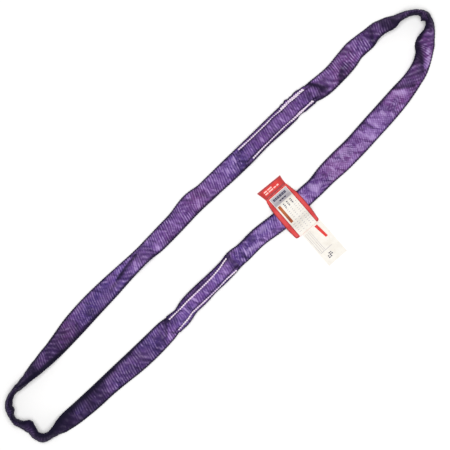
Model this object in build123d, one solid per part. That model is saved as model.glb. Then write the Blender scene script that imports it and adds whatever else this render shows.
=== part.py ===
from build123d import *
from collections import namedtuple
from math import asin, cos, pi, sin
import os

os.makedirs("parts", exist_ok=True)

# An endless round sling lying on a surface. +X points to the upper eye, +Y across to the top run, +Z up.
# All lengths are in millimetres.

# The woven band: a cover tube round an inner sleeve round six strands of yarn.
EDGE_ON_WIDTH = 36.0  # of the cover, from edge to edge, where it stands on edge
FLAT_WIDTH = 31.0  # seen from above, a band at least this wide lies flat
BAND_THICKNESS = 11.0
COVER_WALL = 0.8
SLEEVE_WALL = 0.6
LAYER_GAP = 0.45  # between strands, sleeve and cover
STRAND_DIAMETER = 3.9
STRAND_DEPTH = 3.7  # a strand lies very slightly flattened
STRAND_PITCH = 4.4
STRAND_PAIRS = 3
FOLD_X = 24.0  # the line across both runs about which one half bends up from the other
FOLD_GAP = 0.25  # half the space between the two halves

# A sewn lap: the end of one cover tube inside the other's end. The strands lie two high in it.
LAP_WIDTH = 19.4  # of the inner tube
LAP_THICKNESS = 13.8
LAP_GAP = 0.3  # between the two tubes
LAP_GROWTH = 2 * (LAP_GAP + COVER_WALL)
MARGIN_SPAN = 33.5  # over the flat margins on both sides of a lap
MARGIN_THICKNESS = 1.6
HIDDEN_END = 4.0  # from the inner tube's hidden end to the end of the lap

STITCH_SPAN = 25.0  # from one stitch row to the other
STITCH_PITCH = 4.4
STITCH_LENGTH = 3.4
STITCH_WIDTH = 1.1
STITCH_HEIGHT = 0.6

# The tag: two vinyl leaves, welded together at the head and passing over and under the band.
TAG_X = 96.0
TAG_LIFT = 1.2  # the band rides this high where the back leaf passes under it
LIFTED_X = (60.0, 135.0)
LEAF_THICKNESS = 0.8
TAG_GAP = 0.2  # between pieces of the tag that move separately
NECK_Y = 19.8  # where the front leaf leaves the head
HEAD_LENGTH = 14.0
HEAD_HALF_WIDTHS = (20.0, 23.0)  # at the neck, at the end
HEAD_SLANT = 1.5  # the head's right corner is this much nearer the band than its left corner
WELD_HALF_LENGTH = 18.0
WELD_Y = (20.8, 22.4)
WELD_HEIGHT = 0.3
LEAF_END_Y = -60.0
LEAF_HALF_WIDTH = 24.5
LEAF_UNDERSIDE = [
    (19.3, 1.2),
    (6.0, 4.0),
    (1.5, 9.5),
    (-3.0, 12.7),
    (-33.0, 12.7),
    (-38.0, 9.0),
    (-45.0, 3.0),
    (-50.0, 1.2),
    (LEAF_END_Y, 1.2),
]
LEAF_OUTLINE = [  # half width and y, from the neck to the free end
    (20.0, NECK_Y),
    (22.5, 6.0),
    (LEAF_HALF_WIDTH, -8.0),
    (LEAF_HALF_WIDTH, -35.0),
    (23.0, LEAF_END_Y),
]
EDGE_WIDTH = 6.5
EDGE_HEIGHT = 0.8
LABEL_HEIGHT = 0.3
LABEL_START_Y = 15.0
BACK_LEAF_X = (82.0, 120.0)
TAIL_Y = -62.0  # where the free tail begins
TAIL_END_Y = -126.4

# Printing on the tag, in raised bars that stand in for lines of text.
PRINT_HEIGHT = 0.2
BAR_GAP = 1.4  # between the bars of a row
HEAD_BARS_INSET = 14.0  # from the tag's middle to the first bar on the head
HEAD_BAR_WIDTH = 1.6
HEAD_BAR_LENGTHS = (8, 11, 6)
HEAD_BAR_YS = (30.5, 27.5)
HEADER_INSET = 1.0
HEADER_Y = (14.5, 3.5)
HEADER_BAR_INSET = 5.0
HEADER_BAR_Y = (13.0, 10.0)
STRIPE_INSETS = (3.5, 8.0)
STRIPE_Y = (1.5, -32.0)
LABEL_BARS_INSET = 12.0
LABEL_BAR_WIDTH = 1.4
LABEL_BAR_LENGTHS = (4, 7, 4)
LABEL_BAR_YS = range(-4, -34, -4)
TAIL_STRIP_X = (108.0, 112.0)
TAIL_STRIP_Y = (-86.0, -64.0)
TAIL_LINE_XS = (87.0, 91.0)
TAIL_LINE_WIDTH = 0.8
TAIL_LINE_Y = (-104.0, -64.0)
TAIL_MARK_XS = (92.0, 97.0, 102.0)
TAIL_MARK_WIDTH = 3.0
TAIL_MARK_Y = (-119.0, -112.0)

# Tacks that sew the back leaf to the underside of the band.
TACK_XS = range(86, 116, 6)
TACK_YS = (-24, -12)
TACK_LENGTH = 3.4
TACK_WIDTH = 1.1

# Stations along the band: x, y and width of the band as seen from above, and at a lap how far the
# strands are gathered, from 0, side by side, to 1, two high. A band narrower than it is wide stands
# on edge or leans. Both lists run with the loop's inside on their left.
UPPER_ROUTE = [
    (FOLD_X + FOLD_GAP, -16.5, 31.5),
    (70, -19, 33),
    (128, -16, 32.5),
    (177, -12, 35),
    (225, -9, 37),
    (274, -4, 37.5),
    (322, 2, 37),
    (354, 7, 34.5),
    (379, 12, 30),
    (401, 19, 27.5),
    (421, 30.5, 28),
    (438, 43, 27),
    (453, 55, 21),
    (462, 64.5, 14),
    (464.4, 76, 12),
    (459, 87, 11.5),
    (445, 97.5, 12),
    (425, 103, 14.5),
    (404, 107.5, 21.5),
    (379, 111, 24),
    (367, 110.7, 28),
    (354, 110.2, 32),
    (340, 110.5, 32),
    (322, 105.5, 36),
    (290, 101.5, 35),
    (266, 102, 36),
    (251, 103.3, 30, 0.5),
    (240, 104, LAP_WIDTH, 1),
    (98, 97.6, LAP_WIDTH, 1),
    (87, 97, 30, 0.5),
    (72, 96.7, 35.5),
    (FOLD_X + FOLD_GAP, 95, 35),
]
LOWER_ROUTE = [
    (FOLD_X - FOLD_GAP, 95, 35),
    (-17, 95, 37),
    (-57, 89.5, 35),
    (-106, 85.5, 31.5),
    (-162, 83, 30.5),
    (-210, 79.5, 35.5),
    (-251, 76.5, 37.5),
    (-291, 71.5, 36.5),
    (-340, 63.5, 30),
    (-372, 60, 24),
    (-396, 58, 18.5),
    (-415, 56.5, 12.5),
    (-431, 55.5, 11),
    (-446, 51, 11.5),
    (-457, 41, 12.5),
    (-464, 28, 11),
    (-465, 16.5, 11),
    (-460, 5.5, 15),
    (-455, -5, 18),
    (-454, -16, 16),
    (-450, -27, 15),
    (-440, -35, 13.5),
    (-426, -38, 15),
    (-409, -38, 25.5),
    (-388, -38.5, 29.5),
    (-348, -39, 33),
    (-299, -37.5, 35),
    (-251, -37, 37.5),
    (-210, -35.5, 38),
    (-197, -34.6, 36),
    (-181, -33.6, 30, 0.5),
    (-170, -32.8, LAP_WIDTH, 1),
    (-34, -21.2, LAP_WIDTH, 1),
    (-23, -20, 30, 0.5),
    (-9, -18, 32),
    (FOLD_X - FOLD_GAP, -16.5, 31.5),
]

Station = namedtuple("Station", "x y seen_width gather", defaults=[0])
Frame = namedtuple("Frame", "plane width thickness gather")


def heading(route, i):
    """The way the band runs at station i: square across the fold, and straight along a lap."""
    if i in (0, len(route) - 1):
        return Vector(1 if route[i].y < NECK_Y else -1, 0, 0)
    ends = [route[i - 1], route[i], route[i + 1]]
    if route[i].gather == 1:
        ends = [station for station in ends if station.gather == 1]
    steps = [Vector(b.x - a.x, b.y - a.y, 0).normalized() for a, b in zip(ends, ends[1:])]
    return sum(steps, Vector(0, 0, 0)).normalized()


def frames(rows):
    """The section plane at each station, its x axis across the band from the outer to the inner edge."""
    route = [Station(*row) for row in rows]
    found = []
    for i, station in enumerate(route):
        along = heading(route, i)
        inward = Vector(0, 0, 1).cross(along)
        thickness = BAND_THICKNESS + station.gather * (LAP_THICKNESS - BAND_THICKNESS)
        flatness = (station.seen_width - BAND_THICKNESS) / (FLAT_WIDTH - BAND_THICKNESS)
        width = EDGE_ON_WIDTH + (FLAT_WIDTH - EDGE_ON_WIDTH) * min(1.0, max(0.0, flatness))
        if station.gather or station.seen_width > FLAT_WIDTH:
            width = station.seen_width
        lean = asin(max(0.0, (station.seen_width - thickness) / (width - thickness)))
        across = inward * sin(lean) + Vector(0, 0, 1) * cos(lean)
        height = thickness + (width - thickness) * cos(lean)
        if station.gather == 1:
            height = LAP_THICKNESS + LAP_GROWTH
        lift = TAG_LIFT if LIFTED_X[0] < station.x < LIFTED_X[1] and station.y < NECK_Y else 0
        centre = Vector(station.x, station.y, lift + height / 2)
        found.append(Frame(Plane(centre, across, along), width, thickness, station.gather))
    return found


UPPER = frames(UPPER_ROUTE)
LOWER = frames(LOWER_ROUTE)
LAP_A = next(i for i, frame in enumerate(UPPER) if frame.gather == 1)
LAP_B = next(i for i, frame in enumerate(LOWER) if frame.gather == 1)


def slot(frame, growth):
    """The band's outline at a station, grown by this much in width and thickness."""
    return frame.plane * SlotOverall(frame.width + growth, frame.thickness + growth)


def tube(stations, wall, growths):
    """A tube through these stations, whose outside is the band's outline grown by these amounts."""
    outside = [slot(frame, growth) for frame, growth in zip(stations, growths)]
    inside = [slot(frame, growth - 2 * wall) for frame, growth in zip(stations, growths)]
    return loft(outside, ruled=True) - loft(inside, ruled=True)


def lap_sleeve(start, end):
    """The visible end of a cover tube along a lap, pressed flat along both edges and sewn there."""
    length = (end.plane.origin - start.plane.origin).length
    outline = SlotOverall(LAP_WIDTH + LAP_GROWTH, LAP_THICKNESS + LAP_GROWTH)
    hollow = SlotOverall(LAP_WIDTH + 2 * LAP_GAP, LAP_THICKNESS + 2 * LAP_GAP)
    section = outline + Rectangle(MARGIN_SPAN, MARGIN_THICKNESS) - hollow
    return extrude(start.plane * section, length)


def outer_cover(stations):
    """A cover tube that runs from the fold into a lap, on the outside. The lap comes last."""
    growths = [0] * (len(stations) - 2) + [LAP_GROWTH]
    return tube(stations[:-1], COVER_WALL, growths) + lap_sleeve(*stations[-2:])


def inner_cover(stations, towards):
    """A cover tube that ends hidden inside a lap. The hidden end comes last."""
    hidden = stations[-1]
    back = (towards.plane.origin - hidden.plane.origin).normalized() * HIDDEN_END
    end = Plane(hidden.plane.origin + back, hidden.plane.x_dir, hidden.plane.z_dir)
    shown = stations[:-1] + [Frame(end, hidden.width, hidden.thickness, 1)]
    return tube(shown, COVER_WALL, [0] * len(shown))


def reverse(stations):
    """The same stations run the other way."""
    turned = []
    for frame in reversed(stations):
        plane = Plane(frame.plane.origin, frame.plane.x_dir, frame.plane.z_dir * -1)
        turned.append(Frame(plane, frame.width, frame.thickness, frame.gather))
    return turned


def sleeve(stations):
    """The inner sleeve of one half of the loop."""
    growth = -2 * (COVER_WALL + LAYER_GAP)
    return tube(stations, SLEEVE_WALL, [growth] * len(stations))


def strand(stations, pair, side):
    """One strand of yarn. In a lap the strands of a pair turn from side by side to one over the other."""
    sections = []
    for frame in stations:
        turn = frame.gather * pi / 2
        middle = pair * STRAND_PITCH * (1 + cos(turn))
        across = middle + side * STRAND_PITCH / 2 * cos(turn)
        up = side * STRAND_PITCH / 2 * sin(turn)
        sections.append(frame.plane * Pos(across, up) * SlotOverall(STRAND_DIAMETER, STRAND_DEPTH))
    return loft(sections, ruled=True)


def stitch_row(start, end, across):
    """Separate stitches on both faces of a lap's margin."""
    length = (end.plane.origin - start.plane.origin).length
    count = int(length / STITCH_PITCH)
    first = (length - (count - 1) * STITCH_PITCH) / 2
    level = (MARGIN_THICKNESS + STITCH_HEIGHT) / 2
    stitches = []
    for i in range(count):
        for face in (1, -1):
            place = Location((across, face * level, first + i * STITCH_PITCH))
            stitches.append(start.plane * place * Box(STITCH_WIDTH, STITCH_HEIGHT, STITCH_LENGTH))
    return Compound(children=stitches)


def offset_path(path, distance):
    """A side-view path moved off its own line, with mitred corners. It runs towards -Y, upwards is out."""
    moved = []
    for i, (y, z) in enumerate(path):
        before, after = path[max(i - 1, 0)], path[min(i + 1, len(path) - 1)]
        normals = []
        for a, b in ((before, (y, z)), ((y, z), after)):
            if a != b:
                step = Vector(b[0] - a[0], b[1] - a[1]).normalized()
                normals.append(Vector(step.Y, -step.X))
        middle = sum(normals, Vector(0, 0, 0)).normalized()
        reach = distance / middle.dot(normals[0])
        moved.append((y + middle.X * reach, z + middle.Y * reach))
    return moved


def leaf_layer(x_range, low, high, y_range=(NECK_Y, LEAF_END_Y)):
    """A layer that follows the front leaf, between two distances from its underside."""
    outline = offset_path(LEAF_UNDERSIDE, low) + offset_path(LEAF_UNDERSIDE, high)[::-1]
    side_view = Plane((x_range[0], 0, 0), (0, 1, 0), (1, 0, 0)) * make_face(Polyline(outline, close=True))
    layer = extrude(side_view, x_range[1] - x_range[0])
    start_y, end_y = y_range
    keep = Box(4 * LEAF_HALF_WIDTH, start_y - end_y, 4 * LEAF_HALF_WIDTH)
    return layer & Pos(TAG_X, (start_y + end_y) / 2, 0) * keep


def plate(x_range, y_range, z_range):
    """A flat rectangular piece between two corners."""
    sizes = [high - low for low, high in (x_range, y_range, z_range)]
    middle = [(low + high) / 2 for low, high in (x_range, y_range, z_range)]
    return Pos(*middle) * Box(*sizes)


def leaf_outline():
    """The front leaf from above: narrow at the neck and widest over the band."""
    right = [(TAG_X + half_width, y) for half_width, y in LEAF_OUTLINE]
    left = [(TAG_X - half_width, y) for half_width, y in LEAF_OUTLINE[::-1]]
    return extrude(make_face(Polyline(right + left, close=True)), 2 * BAND_THICKNESS)


def tag_head():
    """The two leaves welded together, wider towards the end."""
    neck, end = HEAD_HALF_WIDTHS
    bottom_y = NECK_Y + TAG_GAP
    top_y = bottom_y + HEAD_LENGTH
    points = [(-neck, bottom_y), (neck, bottom_y), (end, top_y - HEAD_SLANT), (-end, top_y)]
    face = make_face(Polyline([(TAG_X + x, y) for x, y in points], close=True))
    return extrude(face, 2 * LEAF_THICKNESS)


def rows_of_bars(row_ys, lengths, x_start, width, place):
    """Short printed bars in rows, each made by place(x_range, y_range)."""
    bars = []
    for y in row_ys:
        x = x_start
        for length in lengths:
            bars.append(place((x, x + length), (y, y - width)))
            x += length + BAR_GAP
    return Compound(children=bars)


def plates(xs, width, y_range, z_range):
    """Plates of one width side by side."""
    return Compound(children=[plate((x, x + width), y_range, z_range) for x in xs])


# The band.
parts = {
    "cover_one_upper": inner_cover(UPPER[: LAP_A + 2], UPPER[LAP_A]),
    "cover_one_lower": outer_cover(reverse(LOWER[LAP_B:])),
    "cover_two_lower": inner_cover(LOWER[: LAP_B + 2], LOWER[LAP_B]),
    "cover_two_upper": outer_cover(reverse(UPPER[LAP_A:])),
    "sleeve_upper": sleeve(UPPER),
    "sleeve_lower": sleeve(LOWER),
}
for half, stations in (("upper", UPPER), ("lower", LOWER)):
    number = 0
    for pair in range(STRAND_PAIRS):
        for side in (-1, 1):
            number += 1
            parts[f"strand_{number}_{half}"] = strand(stations, pair - (STRAND_PAIRS - 1) / 2, side)

# The stitching of both laps.
laps = (("a", UPPER[LAP_A], UPPER[LAP_A + 1]), ("b", LOWER[LAP_B], LOWER[LAP_B + 1]))
for letter, start, end in laps:
    parts[f"stitches_{letter}_outer"] = stitch_row(start, end, -STITCH_SPAN / 2)
    parts[f"stitches_{letter}_inner"] = stitch_row(start, end, STITCH_SPAN / 2)

# The tag's fixed pieces.
HEAD_TOP = 2 * LEAF_THICKNESS
WELD_X = (TAG_X - WELD_HALF_LENGTH, TAG_X + WELD_HALF_LENGTH)
parts["tag_head"] = tag_head()
parts["tag_weld"] = plate(WELD_X, WELD_Y, (HEAD_TOP, HEAD_TOP + WELD_HEIGHT))
parts["tag_head_bars"] = rows_of_bars(
    HEAD_BAR_YS,
    HEAD_BAR_LENGTHS,
    TAG_X - HEAD_BARS_INSET,
    HEAD_BAR_WIDTH,
    lambda x, y: plate(x, y[::-1], (HEAD_TOP, HEAD_TOP + PRINT_HEIGHT)),
)
parts["tag_back_leaf"] = plate(BACK_LEAF_X, (TAIL_Y + TAG_GAP, NECK_Y), (0, LEAF_THICKNESS))
parts["tag_tacks"] = Compound(
    children=[
        plate((x, x + TACK_LENGTH), (y, y + TACK_WIDTH), (LEAF_THICKNESS, TAG_LIFT))
        for x in TACK_XS
        for y in TACK_YS
    ]
)

# The front leaf, which lifts.
LEFT, RIGHT = TAG_X - LEAF_HALF_WIDTH, TAG_X + LEAF_HALF_WIDTH
LABEL_LEFT, LABEL_RIGHT = LEFT + EDGE_WIDTH, RIGHT - EDGE_WIDTH
LABEL_Y = (LABEL_START_Y, LEAF_END_Y)
LEAF_TOP = LEAF_THICKNESS
EDGE_TOP = LEAF_TOP + EDGE_HEIGHT
LABEL_TOP = LEAF_TOP + LABEL_HEIGHT
PRINT_TOP = LABEL_TOP + PRINT_HEIGHT
BAR_TOP = PRINT_TOP + PRINT_HEIGHT
HEADER_X = (LABEL_LEFT + HEADER_INSET, LABEL_RIGHT - HEADER_INSET)
HEADER_BAR_X = (LABEL_LEFT + HEADER_BAR_INSET, LABEL_RIGHT - HEADER_BAR_INSET)
STRIPE_X = (LABEL_LEFT + STRIPE_INSETS[0], LABEL_LEFT + STRIPE_INSETS[1])
outline = leaf_outline()
parts["tag_leaf"] = leaf_layer((LEFT, RIGHT), 0, LEAF_TOP) & outline
for edge, x_range in (("left", (LEFT, LABEL_LEFT)), ("right", (LABEL_RIGHT, RIGHT))):
    parts[f"tag_edge_{edge}"] = leaf_layer(x_range, LEAF_TOP, EDGE_TOP, LABEL_Y) & outline
parts["tag_label"] = leaf_layer((LABEL_LEFT, LABEL_RIGHT), LEAF_TOP, LABEL_TOP, LABEL_Y)
parts["tag_header"] = leaf_layer(HEADER_X, LABEL_TOP, PRINT_TOP, HEADER_Y)
parts["tag_header_bar"] = leaf_layer(HEADER_BAR_X, PRINT_TOP, BAR_TOP, HEADER_BAR_Y)
parts["tag_stripe"] = leaf_layer(STRIPE_X, LABEL_TOP, PRINT_TOP, STRIPE_Y)
parts["tag_print"] = rows_of_bars(
    LABEL_BAR_YS,
    LABEL_BAR_LENGTHS,
    LABEL_LEFT + LABEL_BARS_INSET,
    LABEL_BAR_WIDTH,
    lambda x, y: leaf_layer(x, LABEL_TOP, PRINT_TOP, y),
)

# The free tail, which lifts.
TAIL_PRINT_Z = (LEAF_THICKNESS, LEAF_THICKNESS + PRINT_HEIGHT)
parts["tag_tail"] = plate(BACK_LEAF_X, (TAIL_END_Y, TAIL_Y - TAG_GAP), (0, LEAF_THICKNESS))
parts["tag_tail_strip"] = plate(TAIL_STRIP_X, TAIL_STRIP_Y, TAIL_PRINT_Z)
parts["tag_tail_lines"] = plates(TAIL_LINE_XS, TAIL_LINE_WIDTH, TAIL_LINE_Y, TAIL_PRINT_Z)
parts["tag_tail_marks"] = plates(TAIL_MARK_XS, TAIL_MARK_WIDTH, TAIL_MARK_Y, TAIL_PRINT_Z)

for name, shape in parts.items():
    export_step(shape, f"parts/{name}.step")
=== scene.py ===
import bmesh
import bpy
import numpy as np
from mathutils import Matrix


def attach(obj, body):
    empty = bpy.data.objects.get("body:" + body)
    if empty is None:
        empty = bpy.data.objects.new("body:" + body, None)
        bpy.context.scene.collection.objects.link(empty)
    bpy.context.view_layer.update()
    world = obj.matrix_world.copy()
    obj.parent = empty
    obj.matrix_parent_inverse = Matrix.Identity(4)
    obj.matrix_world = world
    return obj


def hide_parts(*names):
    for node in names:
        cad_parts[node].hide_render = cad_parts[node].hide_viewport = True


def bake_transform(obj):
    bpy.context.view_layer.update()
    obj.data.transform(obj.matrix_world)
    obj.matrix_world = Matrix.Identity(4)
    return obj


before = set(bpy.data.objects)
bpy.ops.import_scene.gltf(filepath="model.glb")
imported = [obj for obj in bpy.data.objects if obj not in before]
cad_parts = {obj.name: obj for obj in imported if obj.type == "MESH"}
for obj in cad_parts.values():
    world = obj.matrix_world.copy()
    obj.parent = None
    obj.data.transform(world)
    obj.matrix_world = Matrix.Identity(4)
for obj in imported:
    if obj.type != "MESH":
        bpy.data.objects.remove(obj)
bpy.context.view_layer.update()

# The sling lies on z = 0. Lengths here are in millimetres until a mesh is made.
MM = 0.001

# ---- the band's line and section

# Stations once round the loop, its inside on the left: x, y, and the width seen from above.
LOOP = [
    (24, -16.4, 31), (70, -19, 32.5), (128, -16, 32), (148, -15.5, 31.5), (177, -12, 35),
    (205, -10.5, 37.5), (240, -8.2, 37), (274, -4, 37.5), (322, 2, 37.3), (354, 7, 35.2),
    (379, 11.8, 31), (401, 18.6, 30), (421, 30.8, 29.5), (436.5, 44.5, 31), (453, 55, 22.5),
    (461.8, 65, 15.5), (464.4, 76, 11.5), (459.4, 87, 10), (445, 97.3, 10.5),
    (432, 101.5, 15), (416, 104, 25), (404, 107.8, 26.5), (393, 110.4, 27.5),
    (379, 110.6, 29), (367, 109.4, 32), (354, 109.7, 33), (340, 109.6, 34.3),
    (322, 105.9, 36.4), (290, 101.4, 35.4), (266, 100.8, 36.5), (240, 103.4, 34.5),
    (205, 103.6, 35), (169, 102.2, 35), (133, 100.8, 33.7), (98, 98.3, 35.2), (72, 97, 35.6),
    (24, 95, 34.2), (8, 94.3, 34), (-17, 95, 37), (-57, 89.5, 33.6), (-85, 86.9, 33.3),
    (-106, 85.3, 32.5), (-125, 84.9, 30.2), (-162, 83, 30.7), (-210, 79.6, 35.8),
    (-251, 76.3, 38), (-291, 71.4, 37.5), (-340, 63.5, 30.8), (-372, 60, 27.2),
    (-396, 57.8, 22.8), (-411, 56, 17), (-422, 55.3, 11.5), (-432, 55.2, 9.2),
    (-446, 50.8, 9.8), (-457, 41.2, 12.3), (-463.2, 28, 9.6), (-464.2, 16.5, 10.2),
    (-459.5, 6.5, 16.5), (-455.5, -1, 21.5), (-452.8, -10, 21), (-453.6, -21, 18.6),
    (-448, -32, 18.5), (-437, -36.2, 16.5), (-425, -37, 21), (-411, -37.6, 27.5),
    (-400, -38, 30), (-388, -38.4, 31), (-348, -38.7, 33.3), (-315, -37.6, 33.8),
    (-291, -37.3, 35.5), (-251, -37.3, 38.5), (-210, -35.3, 38.4), (-186, -33.3, 36.8),
    (-170, -32.4, 34.4), (-151, -32.2, 32.2), (-133, -27.2, 32.4), (-107, -25.0, 33.4),
    (-85, -23.3, 31.4), (-63, -22.5, 31.4), (-41, -20.5, 31.6), (-27, -18.2, 32.5), (-9, -18.6, 31),
]
LAP_A = ((240, 103.4), (98, 98.3))  # the free end of cover two's tube, and the lap's other end
LAP_B = ((-170, -32.4), (-34, -19.3))  # the free end of cover one's tube, and the other end
TAG_X = (60, 135)  # the band is lifted here, where the tag's back leaf passes under it

EDGE_ON_WIDTH = 36.0  # across the band where it stands on its edge
FLAT_WIDTH = 31.0  # where it is seen this wide or wider, it lies flat
THICKNESS = 11.0
PILLOW_POWER = 2.4  # how full the section is
PILLOW_ROUND = 0.62  # how round its sides are where it lies flat
EDGE_ON_ROUND = 0.2  # and how much rounder where it stands on its edge
TOP_BIAS = 0.22  # how much fuller the top is than the underside

LAP_HEIGHT = 16.0
LAP_HALF_WIDTH = 17.0
DOME_HALF_WIDTH = 12.0  # a lap is thick this far from its middle, and beyond it is a flat margin
DOME_POWER = 0.8
MARGIN = 1.1  # half the thickness of a lap's flat margin
MARGIN_GROWTH = 0.8  # the share of a layer's growth that its margin takes
MARGIN_THINNEST = (0.2, 0.1)  # before and after the thread pulls it in
STITCH_LINE = 12.6  # from the middle of a lap to each line of thread
STITCH_DIP = 0.35  # how deep the thread pulls the margin in
STITCH_SPREAD = 1.3
WALL = 0.8
HIDDEN_INSET = 1.1  # a tube inside another in a lap is this much smaller all round
LAP_NARROWING = 10.0  # and this much narrower, since it stays clear of the margins
RELAX = 16.0  # a lap's shape dies away over this length

TAG_SIDE_Y = 40.0  # the run with the tag lies below this y
TAG_LIFT = 1.2
TAG_LEAD = 20.0  # the lift begins this far beside the tag
CALM_X = (55, 70, 122, 137)  # the tag holds the wrinkles down here, wholly between the middle two
TAG_CALM = 0.85
FLOOR_GAP = 0.35  # the smooth section starts this high, and ribs and folds reach below it
CLEARANCE = 0.08  # the lowest that a cover's outside lies
INNER_CLEARANCE = 0.48  # how much higher its inside lies
SLEEVE_CLEARANCE = 0.91
PRESS = 0.3  # how softly a surface turns from hanging to lying

TABLE_ROWS = 24000  # of the table of the loop's middle line
ROW = 0.7  # spacing of the fine rows of a cover
COARSE_ROW = 3.0
COLUMNS = 44
SLEEVE_COLUMNS = 28
RIB_PITCH = 4.2
RIB_HEIGHT = 0.4
RIB_SLANT = 0.35  # how far a rib runs along the band for each step across it
RIB_SLANT_CHANGE = 0.12
STEEP_SLANT = 0.7
STEEP_RIBS = (60, 130, 330, 400)  # the lengths along the loop where ribs slant more
LAP_CALM = 0.6  # laps hold back this share of the wrinkles
LAP_RIBS = 0.4  # and this share of the ribs
LAP_DRAPE = 0.5  # and this share of the simulated drape

# Creases and folds with painted shade: from x, y to x, y, half width at both ends, depth, darkness.
FOLDS = [
    (250, 119, 267, 95, 3.6, 3.6, 1.2, 0.9),
    (246, 95, 259, 98, 4.8, 4.8, 0.6, 0.55),
    (240, 108, 245, 100, 1.9, 1.9, 0.4, 0.5),
    (385, 119, 375, 102, 2.1, 3.2, 0.8, 0.5),
    (403, 123, 409, 97, 5.5, 6.0, 0.8, 0.7),
    (416, 111, 424, 97, 6.5, 6.5, 0.5, 0.65),
    (290, 87, 306, 102, 5.6, 2.4, 0.8, 0.7),
    (376, 4, 346, 23, 5.0, 4.0, 1.2, 0.8),
    (379, 22, 406, 13, 4.8, 4.8, 0.3, 0.45),
    (275, 18, 282, -5, 4.0, 1.6, 0.9, 0.6),
    (269, 16, 266, -2, 1.9, 1.9, 0.4, 0.35),
    (-438, -29, -291, -23, 4.2, 3.2, 0, 0.8),
    (-406, -29, -396, -52, 8.1, 6.5, 0.4, 0.55),
    (-354, -29, -349, -53, 4.0, 5.6, 0.3, 0.5),
    (-333, -28, -332, -53, 2.4, 4.0, 0.2, 0.35),
    (-175, -21, -191, -41, 4.8, 2.4, 0.9, 0.7),
    (-191, -21, -199, -47, 1.9, 1.9, 0.6, 0.5),
    (-183, -44, -172, -24, 1.6, 1.6, 0.4, 0.4),
    (-422, 51, -325, 52, 3.6, 3.2, 0, 0.85),
    (-390, 69, -385, 50, 8.1, 9.7, 0.4, 0.75),
    (-325, 72, -304, 56, 1.6, 3.2, 0.5, 0.45),
    (-299, 60, -286, 72, 2.4, 1.6, 0.4, 0.4),
    (-189, 83, -141, 93, 2.9, 1.9, 1.2, 0.85),
    (-210, 76, -177, 85, 2.4, 2.4, 0.6, 0.5),
    (-131, -22, -131, -37, 1.6, 1.6, 0.4, 0.35),
    (-31, -2, -29, -34, 4.8, 3.2, 0.9, 0.6),
    (-20, -7, -19, -32, 1.6, 1.6, 0.4, 0.45),
    (-9, -10, -10, -34, 1.9, 1.9, 0.5, 0.5),
    (424, 50, 411, 23, 11.0, 9.0, 0.4, 0.95),
    (461, 70, 433, 54, 5.5, 5.0, 0.4, 0.95),
    (453, 76, 471, 71, 4.2, 3.6, 0.6, 0.95),
    (-454, 34, -462, 21, 3.2, 3.2, 0.3, 0.5),
    (-444, 5, -459, 13, 3.9, 3.2, 0.4, 0.6),
    (-448, -23, -432, -32, 5.2, 4.2, 0.4, 0.8),
]

# Buckles in one side of the band: x, y, how far it moves towards the loop's inside, half length,
# and 1 for the inner side or -1 for the outer side.
BUCKLES = [
    (462.5, 76.5, 6.5, 5.2, 1),
    (-461, 36, 4.0, 6.0, 1),
    (431, 38, 0.8, 8.0, 1),
    (-447, 0, 4.6, 7.0, 1),
    (194, 120, -1.0, 3.0, -1),
    (203, 121, -2.0, 3.6, -1),
    (212, 121, -0.8, 3.0, -1),
    (224, 121, -1.6, 7.0, -1),
    (208, 86, -1.8, 7.0, 1),
]
BUCKLE_REACH = 30.0  # from the middle of the band
BUCKLE_STARTS = 0.3  # how far out towards its side a flat band starts to move
BUCKLE_AT = 0.35  # how far up a band on its edge moves most
BUCKLE_EVEN = 0.55  # the share of the movement that is the same all the way up

# Uneven fields round the loop: seed, and wavelengths in millimetres.
SWELL = (3, (31, 45, 67, 95))
WRINKLE = (8, (13, 19, 27))
SWELL_HEIGHT, WRINKLE_HEIGHT = 1.1, 0.32
RIB_WAVES = (5, (50, 90))
RIB_WANDER = 0.9
BROAD = (11, (38, 57, 83))
CREASED = (12, (9, 13, 21))
GLINTS = (13, (11, 16, 24))
MOTTLE = (14, (7, 10, 15))
# The range of each that shows, from not at all to wholly.
BROAD_RANGE, CREASED_RANGE = (0.25, 1.3), (0.5, 1.6)
GLINT_RANGE, MOTTLE_RANGE = (0.3, 1.5), (0.1, 1.3)
CREASED_SLANT, MOTTLE_SLANT = 14, 9  # millimetres along, from the band's middle to its side

CREASE_FADE = 0.7  # how much shallower a crease is at the band's side
FOLD_SIDES = (0.7, 1.9)  # half widths to the left and right of a crease's line, as multiples
FOLD_BULGE = (0.75, 0.5)  # its width at its ends, and what its middle adds, as multiples
RIDGE_AT = 1.5  # its lit ridge is this many half widths to the left
RIDGE_LIGHT = 0.32  # how much of a crease's darkness its lit ridge has
BROAD_SHADE = 0.3
WRINKLE_SHADE = 0.38
GLINT = 0.32
LAP_GLINT = 0.2  # added to it on the laps
LAP_MOTTLE = 0.28
HOLLOW_SHADE = 0.28  # how much darker the hollows of the drape are, and its crests lighter
BRIGHTEST = -0.36  # no part of the cover is lit more than this
FOOT_SHADE, FOOT_AT, FOOT_SPREAD = 0.8, 10.2, 1.4  # where a lap's dome meets its margin
MARGIN_SHADE = 0.62
MARGIN_STARTS = (0.8, 0.86)  # as shares of half the band's width
DARKER_OUTLINE_X = (190, 300)  # this far to the left of the middle, the outline's painted shade widens and darkens
RIM_WIDTH, INNER_RIM_WIDTH = (2.6, 0.6), (1.0, 2.6)  # at the right, and what the painted shade adds to it towards the left
RIM_SHADE = (0.88, 0.06)
INNER_HALF = (0.35, 0.65)  # how far across the band the outer edge's outline gives way
RIM_FADE = (0.35, 1.5)  # where the outline's painted shade begins to fade and ends, in its widths
WARM_X = (150, 330)  # the cover turns warmer to the right between these
WARM_LEAD, WARM_LEAD_Y = 90, (20, 60)  # and this much sooner beyond the loop's middle
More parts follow.
